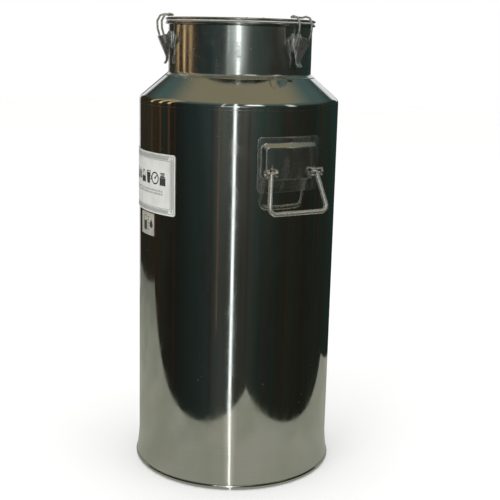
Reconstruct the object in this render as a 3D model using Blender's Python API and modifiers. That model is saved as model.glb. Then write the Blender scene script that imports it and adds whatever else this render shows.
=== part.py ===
"""Milk can: a stainless transport can holding about 40 litres, its lid held by three toggle latches.

Units are metres and +Z is up. The origin is on the can's axis, at the middle of the foot that it
stands on. The two carrying handles are on +X and -X, and the labels face -Y.
"""

import math

import bmesh
import bpy
from mathutils import Matrix, Vector

MM = 0.001

# Driving dimensions
BODY_R = 150 * MM            # outside radius of the body
SHEET = 1.2 * MM             # wall of the body, shoulder, neck and bottom
PLATE = 1.5 * MM             # sheet of the latches and the handle plates
GAP = 0.3 * MM               # gap between touching pieces
FOOT_R = 155 * MM            # widest radius of the base ring
FOOT_H = 8.2 * MM            # height of the base ring
PAN_Z = 14 * MM              # underside of the raised bottom
SEAM_Z = 560 * MM            # joint between the body and the shoulder
CREASE_Z = 569 * MM          # corner between the body and the shoulder cone
CREASE_BEND = 10 * MM        # bend radius at that corner
NECK_R = 107 * MM            # outside radius of the neck
NECK_Z = 606 * MM            # corner between the shoulder cone and the neck
NECK_FILLET = 4 * MM
NECK_FOOT_R = 112 * MM       # the neck's flared foot ends on the cone at this radius
BEAD_Z = 677.4 * MM          # middle of the rolled bead at the mouth
BEAD_R = 2.2 * MM
BEAD_AT = 109.3 * MM
LID_BEAD_Z = 683.1 * MM      # middle of the lid's rolled edge
LID_BEAD_R = 1.9 * MM
LID_BEAD_AT = 109.8 * MM
LID_FLOOR = 672 * MM         # top of the lid's sunk middle
PLUG_R = 104.8 * MM          # outside radius of the part of the lid inside the neck
ROUND = 48                   # sides of a turned piece

LATCHES = {"a": 18, "b": 138, "c": 258}        # where each latch stands, in degrees
PIVOT = (117 * MM, 655 * MM)                   # lever pivot: radius and height
EYE = (117.3 * MM, 648.3 * MM)                 # where the wire bail turns in the lever
WIRE_R = 1.5 * MM
LEG_HALF = 13.8 * MM                           # half the distance between the bail's legs
LEVER_HALF = 11 * MM
BRACKET_HALF = 8 * MM

HANDLES = {"right": 0, "left": 180}
PLATE_HALF, PLATE_LOW, PLATE_HIGH = 51 * MM, 447 * MM, 524 * MM
PLATE_CORNER = 7 * MM
COVER_HALF, COVER_LOW, COVER_HIGH = 46 * MM, 465 * MM, 516 * MM
COVER_PROUD = 7.5 * MM
GRIP_R = 3.5 * MM
GRIP_PIVOT = (158 * MM, 475 * MM)              # radius and height of the carrying handle's axis
EAR_AT = 37.5 * MM                             # middle of each ear along that axis
EAR_LENGTH = 19 * MM
EAR_SLOT = 9.6 * MM                            # gap in the ear where the grip's leg swings
SLOT_OUT = 0.8 * MM                            # the gap's middle, out from the ear's middle
SLOT_TOP = 486.5 * MM
GRIP_DROP = 57 * MM                            # from the axis to the grip's bottom bar
GRIP_LOW = 48.5 * MM                           # half the distance between the legs at the bottom
GRIP_REST = 17                                 # how far the hanging grip stands off, in degrees

LID_GRIP_R = 3 * MM
LID_PIVOT_Z = 676.6 * MM
LUG_AT = 39.5 * MM

LABELS = {"large": (-99.25, 33.5, 405 * MM, 493 * MM, 4 * MM),
          "small": (-91.1, 8.1, 369.8 * MM, 403.2 * MM, 2 * MM)}   # middle, half angle, low, high, corner
LABEL_SHEET = 0.5 * MM

for old in list(bpy.data.objects):
    bpy.data.objects.remove(old, do_unlink=True)

parts = bpy.data.collections.new("milk_can")
cutters = bpy.data.collections.new("cutters")
for group in (parts, cutters):
    bpy.context.scene.collection.children.link(group)


# ---------------------------------------------------------------- materials

def material(name, colour, roughness, metallic):
    mat = bpy.data.materials.new(name)
    mat.use_nodes = True
    shader = mat.node_tree.nodes["Principled BSDF"]
    shader.inputs["Base Color"].default_value = (*colour, 1)
    shader.inputs["Roughness"].default_value = roughness
    shader.inputs["Metallic"].default_value = metallic
    return mat


POLISHED = material("polished_steel", (0.60, 0.60, 0.58), 0.12, 1.0)
PRESSED = material("pressed_steel", (0.62, 0.61, 0.58), 0.20, 1.0)
WIRE = material("steel_wire", (0.66, 0.66, 0.64), 0.16, 1.0)
SILICONE = material("silicone", (0.80, 0.79, 0.75), 0.50, 0.0)
STICKER = material("sticker", (0.82, 0.83, 0.80), 0.55, 0.0)


# ---------------------------------------------------------------- helpers

def add(name, mesh, mat=None, group=parts):
    obj = bpy.data.objects.new(name, mesh)
    group.objects.link(obj)
    if mat:
        mesh.materials.append(mat)
    if group is cutters:
        obj.hide_render = True
        obj.display_type = 'WIRE'
    return obj


def apply_modifiers(obj):
    """Turns an object with its modifiers, or a curve, into a plain mesh object of the same name."""
    bpy.context.view_layer.update()
    graph = bpy.context.evaluated_depsgraph_get()
    mesh = bpy.data.meshes.new_from_object(obj.evaluated_get(graph))
    shape = bmesh.new()
    shape.from_mesh(mesh)
    bmesh.ops.remove_doubles(shape, verts=shape.verts, dist=1e-6)
    shape.to_mesh(mesh)
    shape.free()
    name, matrix, group = obj.name, obj.matrix_world.copy(), obj.users_collection[0]
    bpy.data.objects.remove(obj, do_unlink=True)
    made = add(name, mesh, group=group)
    made.matrix_world = matrix
    return made


def turned(name, profile, mat=None, group=parts, sides=ROUND):
    """Turns a closed profile of (radius, height) points round Z, outer side first, from the top."""
    mesh = bpy.data.meshes.new(name)
    points = [(r, 0, z) for r, z in profile]
    count = len(points)
    closed = profile[0][0] > 0
    edges = [(i, (i + 1) % count) for i in range(count if closed else count - 1)]
    mesh.from_pydata(points, edges, [])
    obj = add(name, mesh, mat, group)
    screw = obj.modifiers.new("turn", 'SCREW')
    screw.steps = screw.render_steps = sides
    screw.use_merge_vertices = True
    screw.merge_threshold = 1e-5
    screw.use_smooth_shade = True
    return obj


def arc(centre, radius, start, end, steps):
    """Points of an arc in a profile, with angles in degrees from the outward direction."""
    turn = [math.radians(start + (end - start) * i / steps) for i in range(steps + 1)]
    return [(centre[0] + radius * math.cos(a), centre[1] + radius * math.sin(a)) for a in turn]


def rounded(points, radius, steps=4):
    """Rounds the inner corners of an open 3-D path with arcs of one radius."""
    path = [Vector(points[0])]
    for before, corner, after in zip(points, points[1:], points[2:]):
        corner = Vector(corner)
        back, ahead = (Vector(before) - corner).normalized(), (Vector(after) - corner).normalized()
        half = back.angle(ahead) / 2
        reach = radius / math.tan(half)
        centre = corner + (back + ahead).normalized() * (radius / math.sin(half))
        first, last = corner + back * reach - centre, corner + ahead * reach - centre
        for i in range(steps + 1):
            path.append(centre + first.normalized().slerp(last.normalized(), i / steps) * radius)
    path.append(Vector(points[-1]))
    return path


def wire(name, points, radius, mat, origin, spin):
    """A round wire along a path, made round its joint's axis and turned to its place."""
    curve = bpy.data.curves.new(name, 'CURVE')
    curve.dimensions = '3D'
    curve.bevel_depth = radius
    curve.bevel_resolution = 2
    curve.use_fill_caps = True
    spline = curve.splines.new('POLY')
    spline.points.add(len(points) - 1)
    for spot, p in zip(spline.points, points):
        spot.co = (*(p - origin), 1)
    obj = add(name, curve, mat)
    obj.matrix_world = spin @ Matrix.Translation(origin)
    made = apply_modifiers(obj)
    made.data.shade_smooth()
    return made


def outline(name, points, half, mat=None, group=parts):
    """A flat outline in X and Z, extruded to both sides along Y."""
    curve = bpy.data.curves.new(name, 'CURVE')
    curve.dimensions = '2D'
    curve.fill_mode = 'BOTH'
    curve.extrude = half
    spline = curve.splines.new('POLY')
    spline.points.add(len(points) - 1)
    spline.use_cyclic_u = True
    for spot, (x, z) in zip(spline.points, points):
        spot.co = (x, z, 0, 1)
    obj = add(name, curve, group=group)
    obj.matrix_world = Matrix.Rotation(math.pi / 2, 4, 'X')
    made = apply_modifiers(obj)
    made.data.transform(made.matrix_world)
    made.matrix_world = Matrix.Identity(4)
    if mat:
        made.data.materials.append(mat)
    return made


def rounded_rectangle(half, low, high, corner, steps=4):
    """Outline of a rectangle with rounded corners, half wide to each side of 0."""
    inner, bottom, top = half - corner, low + corner, high - corner
    spots = [((inner, top), 0), ((-inner, top), 90), ((-inner, bottom), 180), ((inner, bottom), 270)]
    return [p for centre, start in spots for p in arc(centre, corner, start, start + 90, steps)]


def block(name, low, high, group=cutters):
    """A box between two corners."""
    mesh = bpy.data.meshes.new(name)
    shape = bmesh.new()
    low, high = Vector(low), Vector(high)
    size = Matrix.Diagonal((high - low).to_4d())
    bmesh.ops.create_cube(shape, size=1, matrix=Matrix.Translation((low + high) / 2) @ size)
    shape.to_mesh(mesh)
    shape.free()
    return add(name, mesh, group=group)


def rod(name, centre, radius, length, axis='Y', sides=16, mat=None, group=cutters):
    """A cylinder whose middle is at a point, along X, Y or Z."""
    turn = {'X': Matrix.Rotation(math.pi / 2, 4, 'Y'), 'Y': Matrix.Rotation(math.pi / 2, 4, 'X'),
            'Z': Matrix.Identity(4)}[axis]
    mesh = bpy.data.meshes.new(name)
    shape = bmesh.new()
    bmesh.ops.create_cone(shape, cap_ends=True, segments=sides, radius1=radius, radius2=radius,
                          depth=length, matrix=Matrix.Translation(centre) @ turn)
    shape.to_mesh(mesh)
    shape.free()
    return add(name, mesh, mat, group)


def boolean(obj, operation, *others):
    for other in others:
        cut = obj.modifiers.new(other.name, 'BOOLEAN')
        cut.operation = operation
        cut.object = other
    return obj


def finish(obj, origin, spin, mat):
    """Applies the modifiers, moves the origin to the joint's axis and turns the piece to its place."""
    made = apply_modifiers(obj)
    made.data.transform(Matrix.Translation(-origin))
    made.matrix_world = spin @ Matrix.Translation(origin)
    made.data.materials.clear()
    made.data.materials.append(mat)
    made.data.set_sharp_from_angle(angle=math.radians(35))
    return made


# ---------------------------------------------------------------- the can

SLOPE = math.atan2(NECK_Z - CREASE_Z, BODY_R - NECK_R)       # slope of the shoulder cone


def cone_point(radius, inward=0.0):
    """Point on the cone's outer face at a radius, or the same distance below that face."""
    height = NECK_Z - (radius - NECK_R) * math.tan(SLOPE)
    return radius - inward * math.sin(SLOPE), height - inward * math.cos(SLOPE)


def make_body():
    flare = [(0, 36), (0.5, 24), (1.7, 15.5), (3.6, 8.2)]     # how far out, at what height, in mm
    outer = [(BODY_R + out * MM, z * MM + GAP) for out, z in flare]
    inner = [(r - SHEET, z) for r, z in reversed(outer)]
    turned("body_shell", [(BODY_R, SEAM_Z), *outer, *inner, (BODY_R - SHEET, SEAM_Z)], POLISHED)


def make_shoulder():
    tilt = math.degrees(SLOPE)
    reach = CREASE_BEND * math.tan((math.pi / 2 - SLOPE) / 2)
    centre = (BODY_R - CREASE_BEND, CREASE_Z - reach)
    bend = arc(centre, CREASE_BEND, 90 - tilt, 0, 3)
    inside = arc(centre, CREASE_BEND - SHEET, 0, 90 - tilt, 3)
    low = SEAM_Z + GAP
    start = NECK_FOOT_R + GAP
    turned("shoulder_cone", [cone_point(start), *bend, (BODY_R, low), (BODY_R - SHEET, low),
                             *inside, cone_point(start, SHEET)], POLISHED)


def make_neck():
    tilt = math.degrees(SLOPE)
    turn = math.pi / 2 - SLOPE
    reach = NECK_FILLET * math.tan(turn / 2)
    centre = (NECK_R + NECK_FILLET, NECK_Z + reach)
    fillet = arc(centre, NECK_FILLET, 180, 270 - tilt, 2)
    back = arc(centre, NECK_FILLET + SHEET, 270 - tilt, 180, 2)
    bead = arc((BEAD_AT, BEAD_Z), BEAD_R, 120, -130, 6)
    inner = NECK_R - SHEET
    turned("neck_collar", [(inner, BEAD_Z), (inner + 0.8 * MM, BEAD_Z + 1.6 * MM), *bead,
                           (NECK_R, BEAD_Z - 3.2 * MM), *fillet, cone_point(NECK_FOOT_R),
                           cone_point(NECK_FOOT_R, SHEET), *back], POLISHED)


def make_base():
    ring = arc((FOOT_R - 4 * MM, 4.6 * MM), 4 * MM, 30, -75, 3)
    turned("base_ring", [(FOOT_R - 0.6 * MM, FOOT_H), *ring, (FOOT_R - 4.5 * MM, 0),
                         (FOOT_R - 9 * MM, 0), (FOOT_R - 9 * MM, FOOT_H)], POLISHED)
    edge = BODY_R - SHEET - GAP
    turned("bottom_pan", [(0, PAN_Z + SHEET), (edge, PAN_Z + SHEET), (edge, PAN_Z), (0, PAN_Z)], PRESSED)


def make_lid():
    inner, top = PLUG_R - SHEET, LID_FLOOR
    bead = arc((LID_BEAD_AT, LID_BEAD_Z), LID_BEAD_R, 165, -150, 6)
    under = LID_BEAD_Z - 1.2 * MM
    turned("lid", [(0, top), (inner - 6 * MM, top), (inner - 1.5 * MM, top + 1.6 * MM),
                   (inner, top + 5 * MM), (inner, under - 0.5 * MM), (inner + 1.2 * MM, under + 1.3 * MM),
                   *bead, (PLUG_R + 1.2 * MM, under), (PLUG_R, under - 1.2 * MM), (PLUG_R, top + 4 * MM),
                   (PLUG_R - 2 * MM, top), (PLUG_R - 6 * MM, top - SHEET), (0, top - SHEET)],
           POLISHED)
    low, high = BEAD_Z + BEAD_R + GAP, LID_BEAD_Z - LID_BEAD_R - GAP
    turned("lid_gasket", [(PLUG_R + 1.4 * MM, under - GAP), (PLUG_R + 2.4 * MM, under - GAP),
                          (PLUG_R + 3.4 * MM, high), (LID_BEAD_AT, high), (LID_BEAD_AT + 0.4 * MM, low),
                          (PLUG_R + 0.4 * MM, low), (PLUG_R + 0.4 * MM, low + 0.5 * MM)], SILICONE)


def make_lid_handle():
    """A folding grip that lies in the sunk middle of the lid, between two lugs."""
    pivot = Vector((0, 0, LID_PIVOT_Z))
    ends, reach = LUG_AT - 4.5 * MM, 42 * MM
    side = LUG_AT + 6 * MM
    path = [(-ends, 0, LID_PIVOT_Z), (-side, 0, LID_PIVOT_Z), (-side, reach, LID_PIVOT_Z),
            (side, reach, LID_PIVOT_Z), (side, 0, LID_PIVOT_Z), (ends, 0, LID_PIVOT_Z)]
    wire("lid_handle", rounded(path, 4.5 * MM), LID_GRIP_R, WIRE, pivot, Matrix.Identity(4))
    foot, crown = LID_FLOOR + GAP, 5.4 * MM
    shape = [(-8 * MM, foot), (8 * MM, foot), (8 * MM, foot + 1.2 * MM)]
    shape += arc((0, LID_PIVOT_Z), crown, 0, 180, 6) + [(-8 * MM, foot + 1.2 * MM)]
    for name, sign in (("left", -1), ("right", 1)):
        lug = outline(f"lid_lug_{name}", shape, 1.5 * MM)
        boolean(lug, 'DIFFERENCE', rod(f"lug_hole_{name}", (0, 0, LID_PIVOT_Z), 3.45 * MM, 20 * MM))
        spin = Matrix.Translation((sign * LUG_AT, 0, 0)) @ Matrix.Rotation(math.pi / 2, 4, 'Z')
        finish(lug, Vector((0, 0, foot)), spin, PRESSED)


# ---------------------------------------------------------------- toggle latches

def latch_bracket(tag, spin):
    """A U of sheet welded to the neck. Its two ears carry the lever's pin."""
    back, face = NECK_R - 1 * MM, NECK_R + 1.8 * MM
    r, z = PIVOT
    side = [(back, 640 * MM), (face, 640 * MM), (face, 648.5 * MM), *arc(PIVOT, 4.2 * MM, -80, 90, 6),
            (face + 2 * MM, 661 * MM), (face, 665 * MM), (back, 665 * MM)]
    base = outline(f"latch_bracket_{tag}", side, BRACKET_HALF)
    slot = block(f"bracket_slot_{tag}", (face, -BRACKET_HALF + PLATE, 0.63),
                 (r + 10 * MM, BRACKET_HALF - PLATE, 0.68))
    wall = rod(f"bracket_wall_{tag}", (0, 0, z), NECK_R + GAP, 0.06, 'Z', 96)
    hole = rod(f"bracket_hole_{tag}", (r, 0, z), 2.1 * MM, 0.04)
    boolean(base, 'DIFFERENCE', slot, wall, hole)
    finish(base, Vector((NECK_R, 0, z)), spin, PRESSED)


def latch_lever(tag, spin):
    """A channel of sheet, wide and deep at the top, drawn down to a narrow tail that kicks outward."""
    r, z = PIVOT
    outer = [(124.5, 657.5), (113.4, 628), (113.2, 623.5), (116.4, 618.6)]
    inner = [(115.2, 617.8), (111.8, 622.8), (111.2, 628), (109.9, 645), (110.6, 657.5)]
    side = [(x * MM, y * MM) for x, y in outer + inner]
    lever = outline(f"latch_lever_{tag}", side, LEVER_HALF)
    taper = [(-LEVER_HALF, 0.660), (-LEVER_HALF, 0.653), (-5.5 * MM, 0.629), (-5 * MM, 0.612),
             (5 * MM, 0.612), (5.5 * MM, 0.629), (LEVER_HALF, 0.653), (LEVER_HALF, 0.660)]
    front = outline(f"lever_front_{tag}", taper, 20 * MM, group=cutters)
    front.data.transform(Matrix.Translation((r, 0, 0)) @ Matrix.Rotation(math.pi / 2, 4, 'Z'))
    hollow_side = [(100 * MM, 0.672), (128.8 * MM, 0.672), (112.4 * MM, 628.5 * MM), (100 * MM, 628.5 * MM)]
    hollow = outline(f"lever_hollow_{tag}", hollow_side, LEVER_HALF, group=cutters)
    inside = [(-LEVER_HALF + PLATE, 0.68), (-LEVER_HALF + PLATE, 0.6534), (-4 * MM, 0.629),
              (-4 * MM, 0.62), (4 * MM, 0.62), (4 * MM, 0.629), (LEVER_HALF - PLATE, 0.6534),
              (LEVER_HALF - PLATE, 0.68)]
    narrow = outline(f"lever_inside_{tag}", inside, 30 * MM, group=cutters)
    narrow.data.transform(Matrix.Translation((r, 0, 0)) @ Matrix.Rotation(math.pi / 2, 4, 'Z'))
    boolean(hollow, 'INTERSECT', narrow)
    pin_hole = rod(f"lever_pin_hole_{tag}", (r, 0, z), 2.1 * MM, 0.04)
    eye_hole = rod(f"lever_eye_hole_{tag}", (EYE[0], 0, EYE[1]), 1.9 * MM, 0.04)
    boolean(lever, 'INTERSECT', front)
    boolean(lever, 'DIFFERENCE', hollow, pin_hole, eye_hole)
    finish(lever, Vector((r, 0, z)), spin, PRESSED)


def latch_pin(tag, spin):
    pivot = Vector((PIVOT[0], 0, PIVOT[1]))
    pin = rod(f"latch_pin_{tag}", pivot, 1.75 * MM, 2 * LEVER_HALF + 1.6 * MM, group=parts)
    finish(pin, pivot, spin, WIRE)


def latch_bail(tag, spin):
    """A wire loop: its ends turn in the lever, and its top bar hooks over the lid's edge."""
    pivot = Vector((EYE[0], 0, EYE[1]))
    leg = [(117.3, 648.3), (123.4, 668), (124, 679), (119.5, 687.2), (112, 689), (107, 687.5)]
    leg = [Vector((x * MM, -LEG_HALF, y * MM)) for x, y in leg]
    end = pivot + Vector((0, -LEVER_HALF + 1.9 * MM, 0))
    mirror = Matrix.Diagonal((1, -1, 1))
    path = [end, *leg] + [mirror @ p for p in reversed([end, *leg])]
    wire(f"latch_bail_{tag}", rounded(path, 2.6 * MM, 2), WIRE_R, WIRE, pivot, spin)


# ---------------------------------------------------------------- carrying handles

def curved_plate(name, inner, outer, shape):
    """The part of a tube between two radii that lies inside an outline seen along X."""
    sheet = turned(name, [(outer, 0.54), (outer, 0.43), (inner, 0.43), (inner, 0.54)],
                   group=cutters, sides=96)
    prism = outline(f"{name}_shape", shape, 60 * MM, group=cutters)
    prism.data.transform(Matrix.Translation((BODY_R, 0, 0)) @ Matrix.Rotation(math.pi / 2, 4, 'Z'))
    return boolean(sheet, 'INTERSECT', prism)


def handle_plate(tag, spin):
    """A pressed plate on the body, with a raised cover and an ear at each lower corner."""
    back = BODY_R + 0.4 * MM
    front = back + COVER_PROUD
    corners = rounded_rectangle(PLATE_HALF, PLATE_LOW, PLATE_HIGH, PLATE_CORNER)
    base = curved_plate(f"plate_base_{tag}", back, back + PLATE, corners)
    cover = curved_plate(f"plate_cover_{tag}", back + 0.5 * MM, front,
                         rounded_rectangle(COVER_HALF, COVER_LOW, COVER_HIGH, 8 * MM))
    pocket_shape = [(-COVER_HALF + PLATE, COVER_LOW - 1 * MM), (COVER_HALF - PLATE, COVER_LOW - 1 * MM)]
    pocket_shape += arc((COVER_HALF - 8 * MM, COVER_HIGH - 8 * MM), 6.5 * MM, 0, 90, 4)
    pocket_shape += arc((-COVER_HALF + 8 * MM, COVER_HIGH - 8 * MM), 6.5 * MM, 90, 180, 4)
    pocket = curved_plate(f"plate_pocket_{tag}", back + PLATE, front - PLATE, pocket_shape)
    plate = apply_modifiers(base)
    plate.name = f"handle_plate_{tag}"
    parts.objects.link(plate)
    cutters.objects.unlink(plate)
    plate.hide_render = False
    plate.display_type = 'TEXTURED'
    boolean(plate, 'UNION', cover)
    radius, height = GRIP_PIVOT
    for number, side in enumerate((-1, 1)):
        spot = (radius, side * EAR_AT, height)
        ear = rod(f"ear_{tag}_{number}", spot, GRIP_R + 2.2 * MM, EAR_LENGTH, sides=24)
        boolean(plate, 'UNION', ear)
    boolean(plate, 'DIFFERENCE', pocket)
    for number, side in enumerate((-1, 1)):
        spot = (radius, side * EAR_AT, height)
        bore = rod(f"ear_bore_{tag}_{number}", spot, GRIP_R + 0.5 * MM, EAR_LENGTH + 4 * MM, sides=24)
        middle = side * (EAR_AT + SLOT_OUT)
        slot = block(f"ear_slot_{tag}_{number}", (radius - 4.4 * MM, middle - EAR_SLOT / 2, PLATE_LOW - MM),
                     (radius + 15 * MM, middle + EAR_SLOT / 2, SLOT_TOP))
        boolean(plate, 'DIFFERENCE', bore, slot)
    finish(plate, Vector((BODY_R, 0, height)), spin, PRESSED)


def handle_bail(tag, spin):
    """A swinging grip of round rod. Its turned-in ends pivot in the plate's ears."""
    radius, height = GRIP_PIVOT
    pivot = Vector((radius, 0, height))
    flat = [(0, -EAR_AT + 8 * MM, 0), (0, -EAR_AT, 0), (0, -GRIP_LOW, -GRIP_DROP)]
    flat += [(0, -y, z) for _, y, z in reversed(flat)]
    lean = Matrix.Rotation(math.radians(-GRIP_REST), 4, 'Y')
    path = [pivot + lean @ Vector(p) for p in flat]
    elbow, foot = 4.5 * MM, 9 * MM
    bends = rounded(path[:3], elbow)[:-1] + rounded(path[1:5], foot)[1:-1]
    wire(f"handle_bail_{tag}", bends + rounded(path[3:], elbow)[1:], GRIP_R, WIRE, pivot, spin)


# ---------------------------------------------------------------- labels

def make_label(tag, middle, half, low, high, corner):
    inner = BODY_R + 0.4 * MM
    width = inner * math.sin(math.radians(half))
    sheet = turned(f"label_sheet_{tag}", [(inner + LABEL_SHEET, high + MM), (inner + LABEL_SHEET, low - MM),
                                          (inner, low - MM), (inner, high + MM)],
                   group=cutters, sides=120)
    shape = outline(f"label_{tag}", rounded_rectangle(width, low, high, corner, 3), 80 * MM)
    shape.data.transform(Matrix.Translation((BODY_R, 0, 0)) @ Matrix.Rotation(math.pi / 2, 4, 'Z'))
    boolean(shape, 'INTERSECT', sheet)
    spin = Matrix.Rotation(math.radians(middle), 4, 'Z')
    finish(shape, Vector((BODY_R, 0, (low + high) / 2)), spin, STICKER)


# ---------------------------------------------------------------- assembly

make_body()
make_shoulder()
make_neck()
make_base()
make_lid()
make_lid_handle()
for letter, degrees in LATCHES.items():
    place = Matrix.Rotation(math.radians(degrees), 4, 'Z')
    latch_bracket(letter, place)
    latch_lever(letter, place)
    latch_pin(letter, place)
    latch_bail(letter, place)
for side_name, degrees in HANDLES.items():
    place = Matrix.Rotation(math.radians(degrees), 4, 'Z')
    handle_plate(side_name, place)
    handle_bail(side_name, place)
for label, numbers in LABELS.items():
    make_label(label, *numbers)
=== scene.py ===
"""Looks of the milk can: polished stainless steel, three toggle latches, two carrying handles.

Units are metres, +Z is up, and the origin is on the can's axis at the middle of its foot.
"""

import math

import bmesh
import bpy
from mathutils import Matrix, Vector

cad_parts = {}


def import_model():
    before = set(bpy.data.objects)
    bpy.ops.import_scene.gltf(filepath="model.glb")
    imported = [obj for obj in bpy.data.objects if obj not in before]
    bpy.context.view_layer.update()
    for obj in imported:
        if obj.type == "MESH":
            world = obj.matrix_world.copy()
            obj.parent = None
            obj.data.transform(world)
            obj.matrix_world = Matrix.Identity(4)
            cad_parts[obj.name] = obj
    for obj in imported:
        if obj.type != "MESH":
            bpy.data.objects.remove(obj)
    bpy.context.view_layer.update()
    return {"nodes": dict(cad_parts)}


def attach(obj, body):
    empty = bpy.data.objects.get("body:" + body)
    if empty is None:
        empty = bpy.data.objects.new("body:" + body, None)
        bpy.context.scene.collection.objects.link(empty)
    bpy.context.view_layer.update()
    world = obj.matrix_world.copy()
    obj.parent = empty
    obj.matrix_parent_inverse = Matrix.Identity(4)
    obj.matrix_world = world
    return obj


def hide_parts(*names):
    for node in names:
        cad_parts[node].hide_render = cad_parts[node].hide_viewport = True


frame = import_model()

MM = 0.001
ON_AXIS = 1e-7                              # a smaller radius than this is on the axis

# Main sizes, as packed but for the ears, 0.8 mm wider, and the wall's flare above the foot
BODY_R = 150 * MM
SHEET = 1.2 * MM
PLATE = 1.5 * MM
GAP = 0.3 * MM
FOOT_R = 155 * MM
FOOT_H = 8.2 * MM
PAN_Z = 14 * MM
SEAM_Z = 560 * MM
CREASE_Z = 569 * MM
CREASE_BEND = 10 * MM
NECK_R = 107 * MM
NECK_Z = 606 * MM
NECK_FILLET = 4 * MM
NECK_FOOT_R = 112 * MM
BEAD_AT, BEAD_Z, BEAD_R = 109.3 * MM, 677.4 * MM, 2.2 * MM
LID_BEAD_AT, LID_BEAD_Z, LID_BEAD_R = 109.8 * MM, 683.1 * MM, 1.9 * MM
LID_FLOOR = 672 * MM
PLUG_R = 104.8 * MM
SLOPE = math.atan2(NECK_Z - CREASE_Z, BODY_R - NECK_R)
SEAM_FLARE = [(8.5 * MM, 3.6 * MM), (15.8 * MM, 1.7 * MM), (24.3 * MM, 0.5 * MM),
              (40 * MM, 0.0)]               # how far the wall stands out at each height

LATCHES = {"a": 18, "b": 138, "c": 258}
EYE = (117.3 * MM, 648.3 * MM)
LEVER_HALF = 11 * MM
LEG_HALF = 13.8 * MM
WIRE_R = 1.5 * MM
WIRE_LEG = [(117.3, 648.3), (123.4, 668), (124, 679), (119.5, 687.2), (112, 689), (107, 687.5)]

HANDLES = {"right": 0, "left": 180}
PLATE_BACK = BODY_R + 0.4 * MM
PLATE_HALF, PLATE_LOW, PLATE_HIGH = 51 * MM, 447 * MM, 524 * MM
PLATE_CORNER = 7 * MM
COVER_HALF, COVER_LOW, COVER_HIGH = 46 * MM, 465 * MM, 516 * MM
COVER_PROUD = 7.5 * MM
GRIP_R = 3.5 * MM
GRIP_PIVOT = (158 * MM, 475 * MM)
EAR_AT, EAR_LENGTH = 37.5 * MM, 19 * MM
EAR_SLOT, SLOT_OUT, SLOT_TOP = 9.6 * MM, 0.8 * MM, 486.5 * MM
GRIP_DROP, GRIP_LOW, GRIP_REST = 57 * MM, 48.5 * MM, 17
EAR_R, BORE_R, BORE_LENGTH = GRIP_R + 2.6 * MM, GRIP_R + 0.5 * MM, EAR_LENGTH + 6 * MM
SIDES = (-1, 1)

LID_GRIP_R = 3 * MM
LID_PIVOT_Z = 676.6 * MM
LUG_AT = 39.5 * MM

LABEL_R, LABEL_SHEET = BODY_R + 0.9 * MM, 0.45 * MM
INK_R, INK_FILM = LABEL_R + 0.06 * MM, 0.05 * MM
GREY_R, GREY_FILM = LABEL_R + 0.05 * MM, 0.04 * MM
LABELS = {"large": (-99.25, 33.5, 405 * MM, 493 * MM, 4 * MM),
          "small": (-91.1, 8.1, 369.8 * MM, 403.2 * MM, 2 * MM)}

CAMERA_TURN = math.radians(60)      # the camera looks at the can from this side of -Y, towards +X
ROOM_DARK = (0.012, 0.015, 0.012)


def placed(name, data):
    """A new object, linked to the scene."""
    obj = bpy.data.objects.new(name, data)
    bpy.context.scene.collection.objects.link(obj)
    return obj


# ---------------------------------------------------------------- camera

def place_camera():
    distance, height = 1485 * MM, 656 * MM
    tilt, roll, yaw = 0.2142, 0.0244, 0.0149
    right = Vector((math.cos(yaw), -math.sin(yaw), 0))
    ahead = Vector((math.sin(yaw) * math.cos(tilt), math.cos(yaw) * math.cos(tilt), -math.sin(tilt)))
    axes = Matrix((right, right.cross(ahead), -ahead)).transposed().to_4x4()
    turn = Matrix.Rotation(CAMERA_TURN, 4, 'Z')
    data = bpy.data.cameras.new("camera")
    data.sensor_width = 36
    data.lens = 69.8
    camera = placed("camera", data)
    camera.matrix_world = (turn @ Matrix.Translation((0, -distance, height)) @ axes
                           @ Matrix.Rotation(roll, 4, 'Z'))
    bpy.context.scene.camera = camera


place_camera()
bpy.context.scene.view_settings.view_transform = 'Standard'


# ---------------------------------------------------------------- node helpers

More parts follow.
